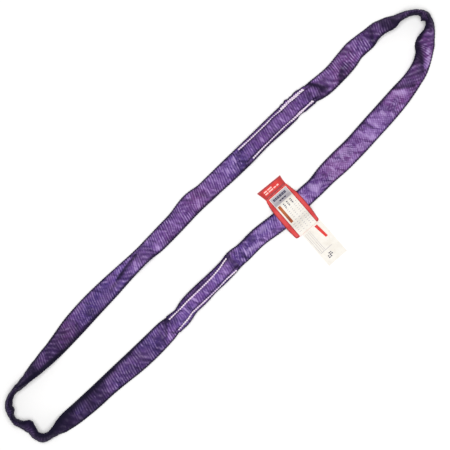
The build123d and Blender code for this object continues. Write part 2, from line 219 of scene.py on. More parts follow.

# Stretches of painted shade: from x, y to x, y, half width, darkness.
PAINTED_SHADE_STRETCHES = [
    (-425, 56, -380, 60, 22, 0.72), (-380, 60, -300, 71, 22, 0.57), (-300, 71, -215, 79, 20, 0.4),
    (-466, 20, -440, 52, 16, 0.88), (-440, 54, -425, 56, 14, 0.86),
    (-466, 20, -455, -14, 22, 0.84), (-455, -14, -452, -30, 22, 0.84),
    (-452, -30, -422, -36, 17, 0.86), (-422, -38, -390, -40, 20, 0.74),
    (-390, -40, -335, -40, 24, 0.72), (-335, -40, -215, -38, 24, 0.48),
    (-215, -38, -175, -33, 20, 0.15),
    (448, 99, 466, 76, 14, 0.84), (466, 76, 462, 62, 14, 0.8), (462, 60, 446, 45, 7, 0.25),
    (440, 100, 405, 108, 18, 0.66), (405, 108, 365, 110, 18, 0.38), (365, 110, 255, 102, 22, 0.28),
    (255, 102, 20, 96, 22, 0.14), (20, 96, -215, 79, 22, 0.16),
]

# Stretches of painted light: from x, y to x, y, half width, lightness.
PAINTED_LIGHT_STRETCHES = [(140, -16, 300, 0, 24, 0.1)]

# The lines of thread on a lap, x and y.
STITCH_LINES = {
    "stitches_a_outer": [
        [
            (94, 111.5), (120, 111.7), (145, 112.8), (169, 114.4), (188, 114.8),
            (209, 115.4), (238, 114.9),
        ],
        [(188, 116.4), (209, 117.7), (237, 117.0)],
    ],
    "stitches_a_inner": [
        [(103, 85.4), (120, 87.3), (145, 89.3), (169, 90.7), (188, 91.5), (209, 92.2), (238, 91.2)],
        [(188, 90.2), (209, 90.4), (237, 93.1)],
    ],
    "stitches_b_inner": [
        [
            (-170, -22.1), (-146, -21.1), (-130, -19.2), (-97, -17.9), (-73, -16.0),
            (-54, -13.1), (-41, -9.5), (-35, -8.2),
        ],
    ],
    "stitches_b_outer": [
        [
            (-170, -44.4), (-146, -41.5), (-135, -38.2), (-106, -37.1), (-81, -35.6),
            (-57, -33.6), (-35, -33.4),
        ],
    ],
}


def ease(x, low, high):
    """0 below low, 1 above high, smooth between."""
    t = np.clip((np.asarray(x, float) - low) / (high - low), 0, 1)
    return t * t * (3 - 2 * t)


def window(x, low, low_inside, high_inside, high):
    """0 outside low to high, 1 well inside, smooth between."""
    return ease(x, low, low_inside) * (1 - ease(x, high_inside, high))


def bell(x, width, power=2):
    """1 at 0, dying away over this width."""
    return np.exp(-(np.abs(x / width) ** power))


def closed_spline(knots, values, period, at):
    """A smooth closed curve through values at the knots, by Catmull-Rom on uneven knots."""
    step = np.diff(np.append(knots, knots[0] + period))[:, None]
    slope = (np.roll(values, -1, 0) - values) / step
    before = np.roll(step, 1, 0)
    tangent = (slope * before + np.roll(slope, 1, 0) * step) / (before + step)
    at = at % period
    i = np.searchsorted(knots, at, side="right") - 1
    j = (i + 1) % len(knots)
    h = step[i]
    t = (at[:, None] - knots[i][:, None]) / h
    return (
        (2 * t**3 - 3 * t**2 + 1) * values[i]
        + (t**3 - 2 * t**2 + t) * h * tangent[i]
        + (3 * t**2 - 2 * t**3) * values[j]
        + (t**3 - t**2) * h * tangent[j]
    )


class Band:
    """The loop's middle line by length along it, and what the section is there."""

    def __init__(self):
        stations = np.array(LOOP, float)
        steps = np.linalg.norm(np.roll(stations[:, :2], -1, 0) - stations[:, :2], axis=1)
        knots = np.append(0, np.cumsum(steps)[:-1])
        fine = np.linspace(0, steps.sum(), TABLE_ROWS, endpoint=False)
        self.table = closed_spline(knots, stations, steps.sum(), fine)
        closed = np.vstack([self.table, self.table[:1]])
        self.arc = np.append(0, np.cumsum(np.linalg.norm(np.diff(closed[:, :2], axis=0), axis=1)))
        self.length = self.arc[-1]
        self.lap_a = [self.arc_of(*end) for end in LAP_A]
        self.lap_b = [self.arc_of(*end) for end in LAP_B]

    def arc_of(self, x, y):
        """How far along the loop the nearest point of its middle line is."""
        return self.arc[np.argmin(np.hypot(self.table[:, 0] - x, self.table[:, 1] - y))]

    def at(self, s):
        """x, y and seen width at these lengths along the loop."""
        s = s % self.length
        found = [np.interp(s, self.arc[:-1], c, period=self.length) for c in self.table.T]
        return np.stack(found, 1)

    def heading(self, s):
        """Which way the loop runs at these lengths: unit x and y."""
        step = self.at(s + 1.0)[:, :2] - self.at(s - 1.0)[:, :2]
        return step / np.linalg.norm(step, axis=1, keepdims=True)

    def within(self, s, lap):
        """1 well inside a lap, 0 at its ends and beyond."""
        low, high = sorted(lap)
        return window(s % self.length, low, low + RELAX / 2, high - RELAX / 2, high)

    def lapness(self, s, lap):
        """1 along a lap, dying away beyond its ends."""
        low, high = sorted(lap)
        return window(s % self.length, low - RELAX, low, high, high + RELAX)

    def any_lap(self, s):
        """The same for both laps."""
        return np.maximum(self.lapness(s, self.lap_a), self.lapness(s, self.lap_b))


band = Band()


def to_the_left(heading):
    """Unit vectors to the left of these headings, which is the inside of the loop."""
    return np.stack([-heading[:, 1], heading[:, 0]], 1)


def wander(field, s, v, amplitude=1.0):
    """A smooth uneven field that closes round the loop, about -amplitude to amplitude.

    v runs over -1 to 1 across the band."""
    seed, waves = field
    random = np.random.default_rng(seed)
    total = np.zeros(np.broadcast(s, v).shape)
    for wave in waves:
        count = round(band.length / wave)
        for tilt in (-2, -1, 0, 1, 2):
            phase, weight = random.uniform(0, 2 * np.pi), random.uniform(0.3, 1)
            total += weight * np.cos(2 * np.pi * count * s / band.length + 1.7 * tilt * v + phase)
    return total * amplitude / np.sqrt(2.5 * len(waves))


def along_stroke(x, y, x0, y0, x1, y1):
    """How far along a stroke these points are, 0 to 1, and how far to its left."""
    dx, dy = x1 - x0, y1 - y0
    length2 = dx * dx + dy * dy
    t = np.clip(((x - x0) * dx + (y - y0) * dy) / length2, 0, 1)
    away = np.hypot(x - x0 - t * dx, y - y0 - t * dy)
    return t, away * np.sign((y - y0) * dx - (x - x0) * dy)


def fold_marks(x, y):
    """Creases at these points from above: depth, painted shade, and the ridge's painted highlight.
    """
    depth = np.zeros(x.shape)
    light = np.ones(x.shape)
    lit = np.zeros(x.shape)
    for x0, y0, x1, y1, w0, w1, deep, dark in FOLDS:
        t, left = along_stroke(x, y, x0, y0, x1, y1)
        width = (w0 + (w1 - w0) * t) * (FOLD_BULGE[0] + FOLD_BULGE[1] * np.sin(np.pi * t))
        mark = bell(left, np.where(left > 0, *FOLD_SIDES) * width)
        depth = np.maximum(depth, deep * mark)
        light *= 1 - dark * mark
        ridge = bell(left - RIDGE_AT * width, width) * np.sin(np.pi * np.clip(t, 0.02, 0.98))
        lit = np.maximum(lit, RIDGE_LIGHT * dark * (deep > 0) * ridge)
    return depth, 1 - light, lit


def stretches(table, x, y):
    """The strongest of a table's stretches at these points seen from above."""
    most = np.zeros(x.shape)
    for x0, y0, x1, y1, width, much in table:
        _, left = along_stroke(x, y, x0, y0, x1, y1)
        most = np.maximum(most, much * bell(left, width, 4))
    return most


def normals_of(points):
    """Outward unit normals of a grid of points, rows along the loop, columns closed round it."""
    along = np.gradient(points, axis=0)
    around = np.roll(points, -1, 1) - np.roll(points, 1, 1)
    n = np.cross(around, along)
    return n / np.maximum(np.linalg.norm(n, axis=2, keepdims=True), 1e-9)


def lift_at_tag(x, y):
    """How far the band is off the floor where the tag's back leaf passes under it."""
    low, high = TAG_X
    return TAG_LIFT * window(x, low - TAG_LEAD, low, high, high + TAG_LEAD) * (y < TAG_SIDE_Y)


def rested(points, s, clearance):
    """These rows of points with what sags below clearance pressed flat on the floor or the tag."""
    x, y, _ = band.at(s).T
    level = (clearance + lift_at_tag(x, y))[:, None]
    above = points[..., 2] - level
    moved = points.copy()
    moved[..., 2] = level + (above + np.sqrt(above**2 + PRESS**2)) / 2
    return moved


def buckled(points, x, y, heading, v, facing, flat):
    """These rows of points with the buckles in the band's sides.

    facing is how far a point of a band on its edge faces the loop's inside."""
    inward = np.hstack([to_the_left(heading), np.zeros((len(x), 1))])
    moved = points.copy()
    for bx, by, amount, half_length, which in BUCKLES:
        reach = ease(which * v, BUCKLE_STARTS, 1.0) * flat
        if which > 0:
            swing = BUCKLE_EVEN + (1 - BUCKLE_EVEN) * np.cos(np.pi * (v - BUCKLE_AT))
            reach = np.maximum(facing * swing, reach)
        span = (x - bx) * heading[:, 0] + (y - by) * heading[:, 1]
        near = bell(span, half_length, 3) * (np.hypot(x - bx, y - by) < BUCKLE_REACH)
        moved += (amount * near[:, None] * reach)[..., None] * inward[:, None, :]
    return moved


def section(s, growth, columns=COLUMNS, narrowing=0.0):
    """The band's smooth outside at these lengths, grown by growth, as rows of points.

    Also for each point: millimetres across the band, -1 to 1 across it, and 1 on the face that
    looks up or -1 below. And for each row: 1 on a lap."""
    x, y, seen = band.at(s).T
    heading = band.heading(s)
    level = np.zeros((len(s), 1))
    inward = np.hstack([to_the_left(heading), level])
    up = np.array([0, 0, 1.0])

    lap = band.any_lap(s)
    thick = np.minimum(THICKNESS, seen)
    flat = np.clip((seen - thick) / (FLAT_WIDTH - thick), 0, 1)
    folded_width = EDGE_ON_WIDTH + (FLAT_WIDTH - EDGE_ON_WIDTH) * flat
    width = np.where(seen > FLAT_WIDTH, seen, folded_width) - narrowing
    lean = np.arcsin(np.clip((seen - thick) / (width - thick), 0, 1))
    lean = np.where(seen > FLAT_WIDTH, np.pi / 2, lean)
    across = inward * np.sin(lean)[:, None] + up * np.cos(lean)[:, None]
    outward = np.cross(np.hstack([heading, level]), across)
    outward *= np.where(outward[:, 2:] < 0, -1, 1)

    thick, width, growth, flat = thick[:, None], width[:, None], growth[:, None], flat[:, None]
    angle = 2 * np.pi * (np.arange(columns) + 0.5) / columns
    v = np.cos(angle)[None, :]
    top = np.sin(angle)[None, :] > 0
    bias = TOP_BIAS * flat * np.where(top, 1, -1)
    pillow = (1 - np.abs(v) ** PILLOW_POWER) ** (PILLOW_ROUND + EDGE_ON_ROUND * (1 - flat))
    half = (thick / 2 * (1 + bias) + growth) * pillow

    a = (width / 2 + growth) * v
    dome = np.clip(1 - (a / (DOME_HALF_WIDTH + growth)) ** 2, 0, 1) ** DOME_POWER
    margin = np.maximum(MARGIN + MARGIN_GROWTH * growth, MARGIN_THINNEST[0])
    margin = margin * (1 - np.abs(v) ** 8) ** 0.5
    margin = margin - STITCH_DIP * bell(np.abs(a) - STITCH_LINE, STITCH_SPREAD)
    lap_half = np.maximum(margin, MARGIN_THINNEST[1]) + (LAP_HEIGHT / 2 + growth - MARGIN) * dome
    half = half + (lap_half - half) * lap[:, None]
    b = np.where(top, half, -half)
    points = a[..., None] * across[:, None, :] + b[..., None] * outward[:, None, :]
    faces = outward[:, None, :] * np.sign(b)[..., None]
    facing = np.clip(np.sum(faces * inward[:, None, :], -1), 0, 1)
    points = buckled(points, x, y, heading, v, facing, flat)
    height = FLOOR_GAP + lift_at_tag(x, y) - points[..., 2].min(1) - growth[:, 0]
    points += np.stack([x, y, height], 1)[:, None, :]
    whole = np.ones_like(a)
    return points, a, v * whole, np.where(top, 1.0, -1.0) * whole, lap


def edge_distance(points, s):
    """How far inside the outline seen from above each point is, and 1 towards the inner edge."""
    middle = band.at(s)[:, :2]
    inward = to_the_left(band.heading(s))
    across = np.sum((points[..., :2] - middle[:, None, :]) * inward[:, None, :], -1)
    low, high = across.min(1, keepdims=True), across.max(1, keepdims=True)
    inner = ease((across - low) / (high - low), *INNER_HALF)
    return np.minimum(across - low, high - across), inner


def slack(points, s, v, side, lap):
    """How far the cover's own folds move each point outwards."""
    x, y = points[..., 0], points[..., 1]
    swell = wander(SWELL, s[:, None], v * side, SWELL_HEIGHT)
    wrinkle = wander(WRINKLE, s[:, None], v * side, WRINKLE_HEIGHT)
    middle = (1 - v**4) * (1 - LAP_CALM * lap[:, None])
    tagged = (y < TAG_SIDE_Y) * window(x, *CALM_X)
    depth, _, _ = fold_marks(x, y)
    creases = depth * (side > 0) * (1 - CREASE_FADE * np.abs(v) ** 3)
    return (swell + wrinkle) * middle * (1 - TAG_CALM * tagged) - creases


def darkness(points, s, v, side, lap):
    """The painted shade on the cover at each point, or the painted light where it is negative."""
    edge, inner = edge_distance(points, s)
    x, y = points[..., 0], points[..., 1]
    s, lap, above = s[:, None], lap[:, None], side > 0
    # Painted shade: in creases, with a painted highlight on their ridges, where a lap's dome meets
    # its margin, and along the outline seen from above, wider and darker towards the left.
    _, dark, lit = fold_marks(x, y)
    foot = FOOT_SHADE * lap * bell(np.abs(v) * LAP_HALF_WIDTH - FOOT_AT, FOOT_SPREAD)
    darker_outline = ease(-x, *DARKER_OUTLINE_X)
    outline = RIM_WIDTH[0] + RIM_WIDTH[1] * darker_outline
    outline = outline + inner * (INNER_RIM_WIDTH[0] + INNER_RIM_WIDTH[1] * darker_outline)
    rim = 1 - ease(edge, RIM_FADE[0] * outline, RIM_FADE[1] * outline)
    rim = (RIM_SHADE[0] + RIM_SHADE[1] * darker_outline) * rim
    rim = np.maximum(rim, MARGIN_SHADE * lap * ease(np.abs(v), *MARGIN_STARTS))
    v = v * side
    broad = ease(wander(BROAD, s, v), *BROAD_RANGE)
    creased = ease(wander(CREASED, s + CREASED_SLANT * v, v), *CREASED_RANGE)
    mottle = ease(wander(MOTTLE, s + MOTTLE_SLANT * v, v), *MOTTLE_RANGE)
    # Painted shade along stretches of the loop, with broad and creased darkening.
    light = (1 - dark * above) * (1 - foot) * (1 - rim) * (1 - stretches(PAINTED_SHADE_STRETCHES, x, y))
    light = light * (1 - BROAD_SHADE * broad) * (1 - WRINKLE_SHADE * creased)
    light = light * (1 - LAP_MOTTLE * lap * mottle)
    # Painted highlights: glints, the lit ridges beside creases, and stretches of painted light.
    glint = ease(wander(GLINTS, s, v), *GLINT_RANGE) * light * (1 - rim)
    glint = np.maximum(lit * above * light, glint * (GLINT + LAP_GLINT * lap))
    return 1 - light - glint - stretches(PAINTED_LIGHT_STRETCHES, x, y) * light


def ribs(s, a):
    """The woven ribs, 0 in the groove to 1 on the crest. They slant differently along the loop."""
    s = s[:, None]
    slant = RIB_SLANT + RIB_SLANT_CHANGE * np.sin(2 * np.pi * 2 * s / band.length + 0.8)
    slant = slant + (STEEP_SLANT - slant) * window(s, *STEEP_RIBS)
    phase = (s - slant * a + wander(RIB_WAVES, s, a / 18, RIB_WANDER)) / RIB_PITCH
    return 0.5 + 0.5 * np.cos(2 * np.pi * phase)


def weave_place(s, a, face):
    """Where the weave's texture is taken from, in metres: along, across, and which face."""
    return np.stack([s[:, None] * MM * np.ones_like(a), a * MM, face], -1)


def placed(name, data):
    """A new object in the scene."""
    thing = bpy.data.objects.new(name, data)
    bpy.context.scene.collection.objects.link(thing)
    return thing


def mesh_piece(name, points, faces, attributes, material=None):
    """A smooth piece with these points, in millimetres, and values or vectors for each point."""
    mesh = bpy.data.meshes.new(name)
    mesh.from_pydata((points * MM).tolist(), [], faces)
    mesh.polygons.foreach_set("use_smooth", np.ones(len(mesh.polygons), bool))
    for key, values in attributes.items():
        kind, field = ("FLOAT_VECTOR", "vector") if values.ndim == 2 else ("FLOAT", "value")
        layer = mesh.attributes.new(key, kind, "POINT")
        layer.data.foreach_set(field, values.astype(np.float32).ravel())
    mesh.update()
    if material:
        mesh.materials.append(material)
    return placed(name, mesh)


def grid_piece(name, grids, attributes, material=None):
    """A piece made of grids of points that each close on themselves both ways."""
    quads, first = [], 0
    for points in grids:
        rows, columns = points.shape[:2]
        here = first + np.arange(rows * columns).reshape(rows, columns)
        ahead = np.roll(here, -1, 0)
        faces = np.stack([here, np.roll(here, -1, 1), np.roll(ahead, -1, 1), ahead], -1)
        quads += faces.reshape(-1, 4).tolist()
        first += rows * columns

    def joined(layers):
        return np.concatenate([layer.reshape(-1, *layer.shape[2:]) for layer in layers])

    attributes = {key: joined(layers) for key, layers in attributes.items()}
    return mesh_piece(name, joined(grids), quads, attributes, material)


# ---- the cover's drape

# A cloth simulation of a slack, lightly filled cover, on a coarse grid round the loop.
CLOTH_ROW = 4.0
CLOTH_COLUMNS = 28
CLOTH_FRAMES = 18
CLOTH_STEPS = 4
CLOTH_MASS = 0.3
CLOTH_STRETCH = 15.0
CLOTH_BEND = 0.2
CLOTH_PRESSURE = 4.0
CLOTH_GROWTH = 0.05  # the cover is cut this much larger than what fills it
CLOTH_CAP = 1.3  # no point moves further than this, in millimetres
CLOTH_SMOOTH = 17  # rows: only wrinkles shorter than this are kept
CLOTH_STRENGTH = 1.7


def simulated_drape():
    """How far the cover moves outwards at each point of the grid."""
    rows = round(band.length / CLOTH_ROW)
    s = np.arange(rows) * band.length / rows
    points = section(s, np.zeros(rows), CLOTH_COLUMNS)[0]
    piece = grid_piece("drape", [points], {})
    modifier = piece.modifiers.new("drape", "CLOTH")
    cloth = modifier.settings
    cloth.quality = CLOTH_STEPS
    cloth.mass = CLOTH_MASS
    cloth.use_pressure = True
    cloth.uniform_pressure_force = CLOTH_PRESSURE
    cloth.effector_weights.gravity = 0
    cloth.shrink_min = -CLOTH_GROWTH
    cloth.tension_stiffness = cloth.compression_stiffness = CLOTH_STRETCH
    cloth.bending_stiffness = CLOTH_BEND
    modifier.collision_settings.use_collision = False
    modifier.point_cache.frame_start = 1
    modifier.point_cache.frame_end = CLOTH_FRAMES
    for step in range(1, CLOTH_FRAMES + 1):
        bpy.context.scene.frame_set(step)
    evaluated = piece.evaluated_get(bpy.context.evaluated_depsgraph_get())
    moved = np.empty(len(evaluated.data.vertices) * 3)
    evaluated.data.vertices.foreach_get("co", moved)
    moved = moved.reshape(points.shape) / MM - points
    bpy.data.objects.remove(piece)
    bpy.context.scene.frame_set(1)
    out = np.sum(moved * normals_of(points), -1)
    reach = CLOTH_SMOOTH // 2
    wrapped = np.vstack([out[-reach:], out, out[:reach]])
    sums = np.vstack([np.zeros((1, CLOTH_COLUMNS)), np.cumsum(wrapped, 0)])
    smooth = (sums[CLOTH_SMOOTH:] - sums[:-CLOTH_SMOOTH]) / CLOTH_SMOOTH
    wrinkles = (out - smooth) * CLOTH_STRENGTH
    return np.clip(wrinkles, -CLOTH_CAP, CLOTH_CAP)


DRAPE = simulated_drape()


def drape(s, columns):
    """The simulated drape at these lengths, for a grid of this many columns."""
    if DRAPE is None:
        return 0.0
    rows, coarse = DRAPE.shape
    r = (s / band.length % 1) * rows
    c = ((np.arange(columns) + 0.5) / columns * coarse - 0.5) % coarse
    r0, c0 = np.floor(r).astype(int), np.floor(c).astype(int)
    fr, fc = (r - r0)[:, None], (c - c0)[None, :]
    r0, r1, c0, c1 = r0 % rows, (r0 + 1) % rows, c0 % coarse, (c0 + 1) % coarse
    near = DRAPE[r0][:, c0] * (1 - fc) + DRAPE[r0][:, c1] * fc
    far = DRAPE[r1][:, c0] * (1 - fc) + DRAPE[r1][:, c1] * fc
    return near * (1 - fr) + far * fr


def drape_fall(points, s, lap, fade):
    """How far the drape moves each of these points outwards. It dies away at the outline."""
    share = (1 - LAP_DRAPE * lap[:, None]) * ease(edge_distance(points, s)[0], *fade)
    return drape(s, points.shape[1]) * share


# ---- materials


def srgb(r, g, b):
    """A linear colour from 0 to 255 screen values."""
    c = np.array([r, g, b]) / 255
    return (*np.where(c > 0.04045, ((c + 0.055) / 1.055) ** 2.4, c / 12.92).tolist(), 1.0)


class Material:
    """A node material, with short ways to add nodes."""

    def __init__(self, name, **shader_values):
        self.material = bpy.data.materials.new(name)
        self.material.use_nodes = True
        self.tree = self.material.node_tree
        self.shader = self.tree.nodes["Principled BSDF"]
        for key, value in shader_values.items():
            self.shader.inputs[key.replace("_", " ")].default_value = value

    def add(self, kind, inputs=(), **settings):
        node = self.tree.nodes.new("ShaderNode" + kind)
        for key, value in settings.items():
            setattr(node, key, value)
        for key, value in dict(inputs).items():
            self.put(node.inputs[key], value)
        return node

    def put(self, socket, value):
        if isinstance(value, bpy.types.NodeSocket):
            self.tree.links.new(value, socket)
        else:
            socket.default_value = value

    def attribute(self, name, vector=False):
        return self.add("Attribute", attribute_name=name).outputs["Vector" if vector else "Fac"]

    def math(self, operation, a, b=0.0, clamp=False):
        node = self.add("Math", operation=operation, use_clamp=clamp)
        self.put(node.inputs[0], a)
        self.put(node.inputs[1], b)
        return node.outputs[0]

    def ramp(self, value, low, high, to_low=0.0, to_high=1.0):
        ends = {"From Min": low, "From Max": high, "To Min": to_low, "To Max": to_high}
        return self.add("MapRange", {"Value": value, **ends}).outputs["Result"]

    def mix(self, factor, a, b, blend_type="MIX"):
        node = self.add("Mix", data_type="RGBA", blend_type=blend_type)
        self.put(node.inputs["Factor"], factor)
        self.put(node.inputs[6], a)
        self.put(node.inputs[7], b)
        return node.outputs[2]

    def noise(self, vector, scale, detail=2.0, roughness=0.5):
        inputs = {"Vector": vector, "Scale": scale, "Detail": detail, "Roughness": roughness}
        return self.add("TexNoise", inputs).outputs["Fac"]

    def stretch(self, vector, *scale):
        return self.add("Mapping", {"Vector": vector, "Scale": scale}).outputs["Vector"]

    def bump(self, height, distance, strength=1.0, below=None):
        inputs = {"Height": height, "Distance": distance, "Strength": strength}
        if below is not None:
            inputs["Normal"] = below
        return self.add("Bump", inputs).outputs["Normal"]

    def finish(self, colour=None, roughness=None, normal=None):
        for key, value in (("Base Color", colour), ("Roughness", roughness), ("Normal", normal)):
            if value is not None:
                self.put(self.shader.inputs[key], value)
        return self.material


def cover_material():
    """Violet polyester tube: ribbed weave, fine yarns, uneven dye, painted shade in its folds and
    painted highlights on its crests.
    """
    m = Material("cover_violet_polyester", Sheen_Weight=0.05, Sheen_Roughness=0.4)
    m.shader.inputs["Sheen Tint"].default_value = srgb(170, 135, 225)
    m.shader.inputs["Specular IOR Level"].default_value = 0.2
    place = m.attribute("weave", vector=True)
    rib, shade, warm = m.attribute("rib"), m.attribute("shade"), m.attribute("warm")
    blotch = m.noise(m.stretch(place, 1, 1.6, 1), 34, 3)
    fleck = m.noise(m.stretch(place, 1, 0.7, 1), 190, 2)
    tint = m.noise(m.stretch(place, 1, 0.6, 1), 9, 2)
    tint = m.math("ADD", tint, m.math("MULTIPLY", warm, 0.16))
    streak = m.noise(m.stretch(place, 260, 60, 1), 1.0, 2)
    yarn = m.noise(m.stretch(place, 900, 1500, 1), 1.0, 1)
    colour = m.mix(m.ramp(tint, 0.4, 0.68), srgb(99, 72, 154), srgb(124, 72, 140))
    colour = m.mix(m.ramp(blotch, 0.46, 0.66, 0, 0.8), colour, srgb(144, 106, 177))
    colour = m.mix(m.ramp(blotch, 0.3, 0.46, 0.75, 0), colour, srgb(70, 44, 106))
    # Painted highlight on the rib crests and painted shade in the rib grooves, broken up by flecks.
    crest = m.math("MULTIPLY", m.ramp(rib, 0.5, 1.0), m.ramp(fleck, 0.4, 0.62))
    colour = m.mix(crest, colour, srgb(204, 176, 232))
    groove = m.math("MULTIPLY", m.ramp(rib, 0.0, 0.6, 1, 0), m.ramp(fleck, 0.35, 0.6, 1.0, 0.45))
    colour = m.mix(groove, colour, srgb(50, 28, 84))
    colour = m.mix(m.ramp(streak, 0.5, 0.75, 0, 0.35), colour, srgb(160, 132, 196))
    colour = m.mix(m.ramp(yarn, 0.3, 0.6, 0.25, 0), colour, srgb(46, 28, 84))
    # Painted light where the shade attribute is negative, and painted shade where it is positive.
    colour = m.mix(m.ramp(shade, 0.0, -1.0), colour, srgb(214, 186, 240))
    colour = m.mix(m.ramp(shade, 0.0, 1.0), colour, srgb(9, 2, 32))
    normal = m.bump(yarn, 0.00022, 0.6)
    normal = m.bump(streak, 0.0004, 0.5, normal)
    return m.finish(colour, m.ramp(blotch, 0.3, 0.7, 0.75, 0.92), normal)


def thread_material():
    """Pinkish white sewing thread with a twist."""
    m = Material("thread_white", Sheen_Weight=0.3)
    place = m.attribute("weave", vector=True)
    inputs = {"Vector": place, "Scale": 420.0, "Distortion": 0.6}
    twist = m.add("TexWave", inputs, bands_direction="DIAGONAL").outputs["Fac"]
    worn = m.noise(place, 90, 2)
    colour = m.mix(m.ramp(worn, 0.4, 0.7), srgb(252, 240, 252), srgb(232, 208, 236))
    colour = m.mix(m.ramp(twist, 0.0, 0.5, 0.35, 0), colour, srgb(176, 134, 184))
    return m.finish(colour, 0.6, m.bump(twist, 0.0002, 0.5))


def yarn_material(name, light, dark):
    """Undyed polyester yarn or sleeve fabric: long pale fibres."""
    m = Material(name, Sheen_Weight=0.3)
    place = m.attribute("weave", vector=True)
    fibre = m.noise(m.stretch(place, 120, 2600, 1), 1.0, 2)
    patch = m.noise(place, 30, 2)
    colour = m.mix(m.ramp(fibre, 0.3, 0.7), srgb(*dark), srgb(*light))
    colour = m.mix(m.ramp(patch, 0.4, 0.7, 0, 0.3), colour, srgb(200, 190, 165))
    return m.finish(colour, 0.75, m.bump(fibre, 0.0003, 0.6))


def vinyl(name, slot_name, main, other, worn, roughness=0.38):
    """Soft vinyl or print: a fine pebble grain, uneven colour, slight gloss, dark red painted shade
    at edges.
    """
    m = Material(name)
    m.shader.inputs["Specular IOR Level"].default_value = 0.25
    place = m.add("TexCoord").outputs["Object"]
    patch = m.noise(place, 60, 3)
    pebble = m.add("TexVoronoi", {"Vector": place, "Scale": 1400.0}).outputs["Distance"]
    scuff = m.noise(m.stretch(place, 3, 1, 1), 220, 4, 0.7)
    colour = m.mix(m.ramp(patch, 0.35, 0.7), srgb(*main), srgb(*other))
    colour = m.mix(m.ramp(scuff, 0.58, 0.75, 0, 0.6), colour, srgb(*worn))
    # Painted shade in dark red towards the sides and ends of a shape, from the shade attribute.
    colour = m.mix(m.attribute("shade"), colour, srgb(120, 22, 32))
    normal = m.bump(pebble, 0.00008, 0.5)
    gloss = m.ramp(scuff, 0.35, 0.7, roughness, roughness + 0.25)
    return m.finish(colour, gloss, normal), slot_name


COVER = cover_material()
THREAD = thread_material()
YARN = yarn_material("yarn_undyed", (232, 226, 210), (176, 168, 150))
SLEEVE = yarn_material("sleeve_undyed", (226, 220, 206), (190, 182, 166))
# Vinyls and prints, each paired with the name of its slot.
RED = vinyl("vinyl_red", "red_vinyl", (224, 56, 50), (206, 44, 46), (238, 104, 92), 0.5)
# A lighter, pinker copy of the red vinyl for the raised beads: painted highlight on their crowns.
LIT_BEAD_RED = vinyl("vinyl_bead_red_lit", "red_vinyl", (222, 76, 74), (208, 62, 66), (244, 136, 128), 0.5)
DARK_RED = vinyl("vinyl_dark_red", "dark_red_vinyl", (168, 34, 40), (150, 26, 34), (200, 70, 66))
WHITE = vinyl("vinyl_white", "white_vinyl", (240, 236, 228), (232, 226, 216), (214, 206, 196), 0.42)
GREY = vinyl("print_grey", "grey_print", (178, 174, 180), (192, 188, 192), (216, 210, 208), 0.6)
DARK = vinyl("print_dark", "dark_print", (48, 46, 78), (66, 62, 88), (120, 116, 130), 0.6)
ORANGE = vinyl("print_orange", "orange_print", (190, 106, 54), (150, 72, 40), (214, 152, 110), 0.55)
PINK = vinyl("print_pink", "pink_print", (255, 214, 206), (252, 184, 174), (255, 230, 222), 0.5)

# ---- covers, sleeve and strands

COVER_FADE = (0.5, 5.0)  # the drape begins this far inside the outline, and is whole this far in
SLEEVE_FADE = (0.0, 4.0)
SLEEVE_WALLS = (-1.25, -1.85)  # how much the sleeve's outside and inside are grown
SLEEVE_NARROWING = LAP_NARROWING + 2
HOLLOW = (0.1, 1.0)  # how far in a hollow of the drape starts to darken, and is darkest
OVERRUN = (12, 14)  # the fine rows end this far inside the other tube, and the coarse ones begin
HIDDEN_END = 4  # the hidden end stops this far before the lap's end
FACE_GAP = 0.01  # keeps the texture of the two faces apart


def cover(name, start, visible_end, hidden_end, hidden_in, nodes):
    """One cover tube as a closed shell, outside at its start, its end hidden in the other lap."""
    fine = np.arange(start, visible_end + OVERRUN[0], ROW)
    hidden = np.arange(visible_end + OVERRUN[1], hidden_end, COARSE_ROW)
    outer_s = np.concatenate([fine, hidden])
    inner_s = np.arange(start + 0.5, hidden_end, COARSE_ROW)[::-1]
    layers, maps = [], {"weave": [], "rib": [], "shade": [], "warm": []}
    for s, inside in ((outer_s, False), (inner_s, True)):
        hiding = band.lapness(s, hidden_in)
        growth = -HIDDEN_INSET * hiding - (WALL if inside else 0)
        narrowing = LAP_NARROWING * band.within(s, hidden_in)
        points, a, v, side, lap = section(s, growth, narrowing=narrowing)
        fall = drape_fall(points, s, lap, COVER_FADE)
        out = slack(points, s, v, side, lap) + fall
        dark = darkness(points, s, v, side, lap)
        dark = dark + (1 - dark) * HOLLOW_SHADE * (ease(-fall, *HOLLOW) - ease(fall, *HOLLOW))
        rib = (ribs(s, a) - 0.5) * (1 - LAP_RIBS * lap[:, None])
        if not inside:
            out = out + RIB_HEIGHT * rib
        clearance = CLEARANCE + HIDDEN_INSET * hiding + (INNER_CLEARANCE if inside else 0)
        layers.append(rested(points + normals_of(points) * out[..., None], s, clearance))
        beyond = points[..., 0] + WARM_LEAD * ease(points[..., 1], *WARM_LEAD_Y)
        maps["weave"].append(weave_place(s, a, side * FACE_GAP))
        maps["rib"].append(0.5 + rib)
        maps["shade"].append(np.maximum(dark, BRIGHTEST))
        maps["warm"].append(ease(beyond, *WARM_X))
    maps = {key: [np.concatenate(values)] for key, values in maps.items()}
    piece = grid_piece(name, [np.concatenate(layers)], maps, COVER)
    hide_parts(*nodes)
    return piece


